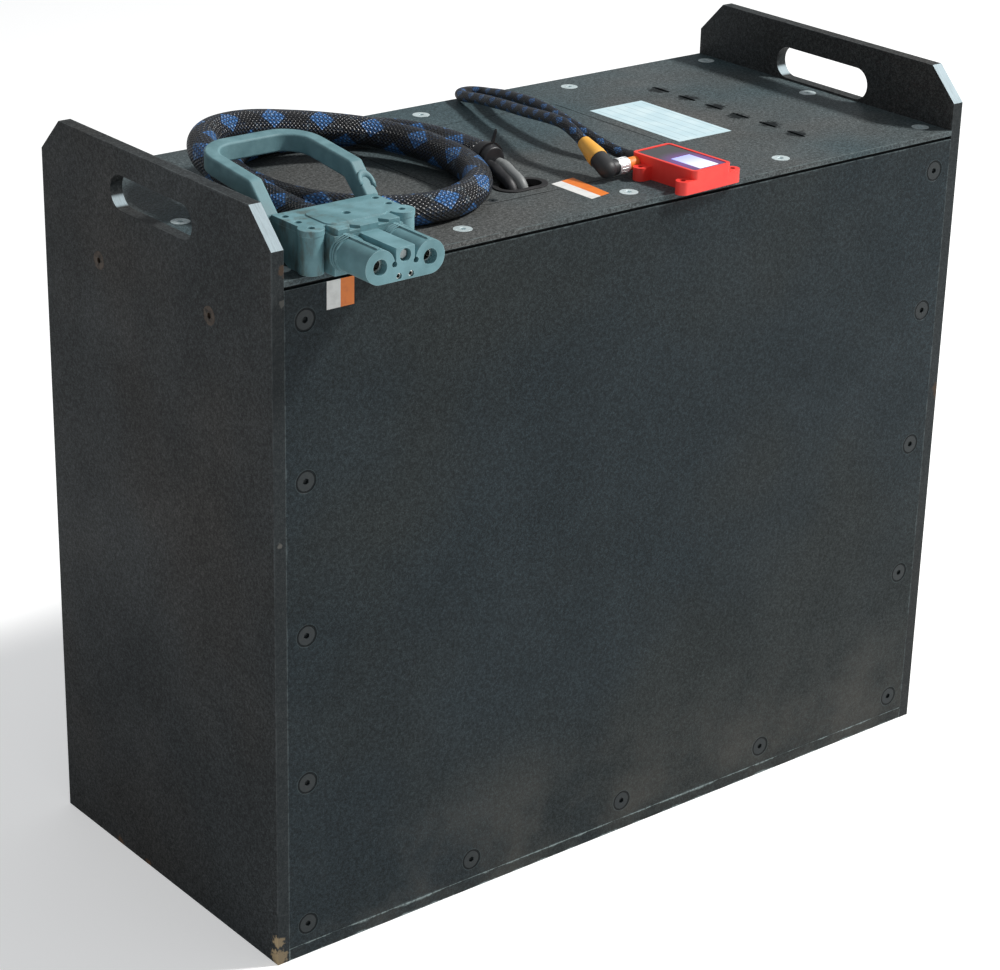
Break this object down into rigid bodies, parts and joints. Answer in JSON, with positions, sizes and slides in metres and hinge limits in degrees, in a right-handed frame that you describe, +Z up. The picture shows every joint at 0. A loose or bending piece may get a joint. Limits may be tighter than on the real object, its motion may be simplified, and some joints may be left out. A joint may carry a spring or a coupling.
{
  "type": "forklift traction battery",
  "caption": "Bolted steel traction battery tray with lifting slots in its end plates; a braided power lead with grey traction plug and a small display lie on the lid.",
  "frame": {"origin": "centre of the tray's flat underside, on the floor", "axes": "+X along the tray's length, from the plug's end plate to the other one; +Y from the front panel under the plug to the back panel; +Z up"},
  "size_m": [0.79, 0.4154, 0.697],
  "materials": {
    "graphite_coat": "fine sand-texture powder coat, worn pale at edges",
    "charcoal_coat": "fine sand-texture powder coat",
    "inner_steel": "plain",
    "black_screw": "black oxide",
    "bright_screw": "bright zinc",
    "brown_screw": "browned oxide",
    "gasket_rubber": "matt",
    "insulation_board": "glass-fibre laminate",
    "cell_can": "satin",
    "copper": "plain copper bar",
    "black_plastic": "fine grain",
    "fuse_ceramic": "plain",
    "sink_alloy": "anodised",
    "braid_black": "braided sleeve with blue tracers",
    "jacket_grey": "smooth",
    "jacket_black": "smooth",
    "shrink_black": "shrunk sleeve",
    "plug_grey": "moulded, fine grain",
    "handle_grey": "moulded, scuffed",
    "silvered": "silver plated",
    "coding_pale": "moulded",
    "display_red": "moulded",
    "bezel_black": "gloss",
    "screen_white": "lit screen glass",
    "socket_orange": "moulded",
    "boot_yellow": "smooth",
    "nut_bright": "nickel plated",
    "label_pale": "pale film",
    "seal_paper": "white and orange film"
  },
  "bodies": {
    "root": {"base_plate": "graphite_coat", "end_plate_left": "charcoal_coat", "end_plate_right": "charcoal_coat", "front_panel": "graphite_coat", "back_panel": "graphite_coat", "lid": "graphite_coat", "lid_gasket": "gasket_rubber", "service_hatch": "graphite_coat", "hatch_ledge": "inner_steel", "cable_grommet": "gasket_rubber", "panel_screws": "black_screw", "lid_screws": "bright_screw", "end_plate_screws": "brown_screw", "hatch_screws": "black_screw", "lower_board": "insulation_board", "middle_board": "insulation_board", "upper_board": "insulation_board", "cells_lower": "cell_can", "cells_upper": "cell_can", "busbars": "copper", "tie_rods": "inner_steel", "terminal_block": "black_plastic", "main_contactor": "black_plastic", "main_fuse": "fuse_ceramic", "cell_monitor": "sink_alloy", "lead_tail_grey": "jacket_grey", "lead_tail_black": "jacket_black", "lead_tail_boot": "shrink_black", "power_lead": "braid_black", "lead_plug_boot": "shrink_black", "plug_housing": "plug_grey", "plug_cover": "plug_grey", "plug_handle": "handle_grey", "plug_main_contacts": "silvered", "plug_pilot_contacts": "silvered", "plug_coding_pin": "coding_pale", "display_case": "display_red", "display_bezel": "bezel_black", "display_screen": "screen_white", "display_screws": "black_screw", "display_socket": "socket_orange", "display_gland": "jacket_black", "data_lead": "braid_black", "data_plug_boot": "boot_yellow", "data_plug_body": "black_plastic", "data_plug_nut": "nut_bright", "rating_label": "label_pale", "lid_seal": "seal_paper", "panel_seal": "seal_paper", "floor_bearers": "inner_steel", "corner_post_front_left": "inner_steel", "corner_post_front_right": "inner_steel", "bottom_rail_front": "inner_steel", "top_rail_front": "inner_steel", "corner_post_back_left": "inner_steel", "corner_post_back_right": "inner_steel", "bottom_rail_back": "inner_steel", "top_rail_back": "inner_steel", "top_rail_left": "inner_steel", "top_rail_right": "inner_steel"}
  },
  "joints": []
}
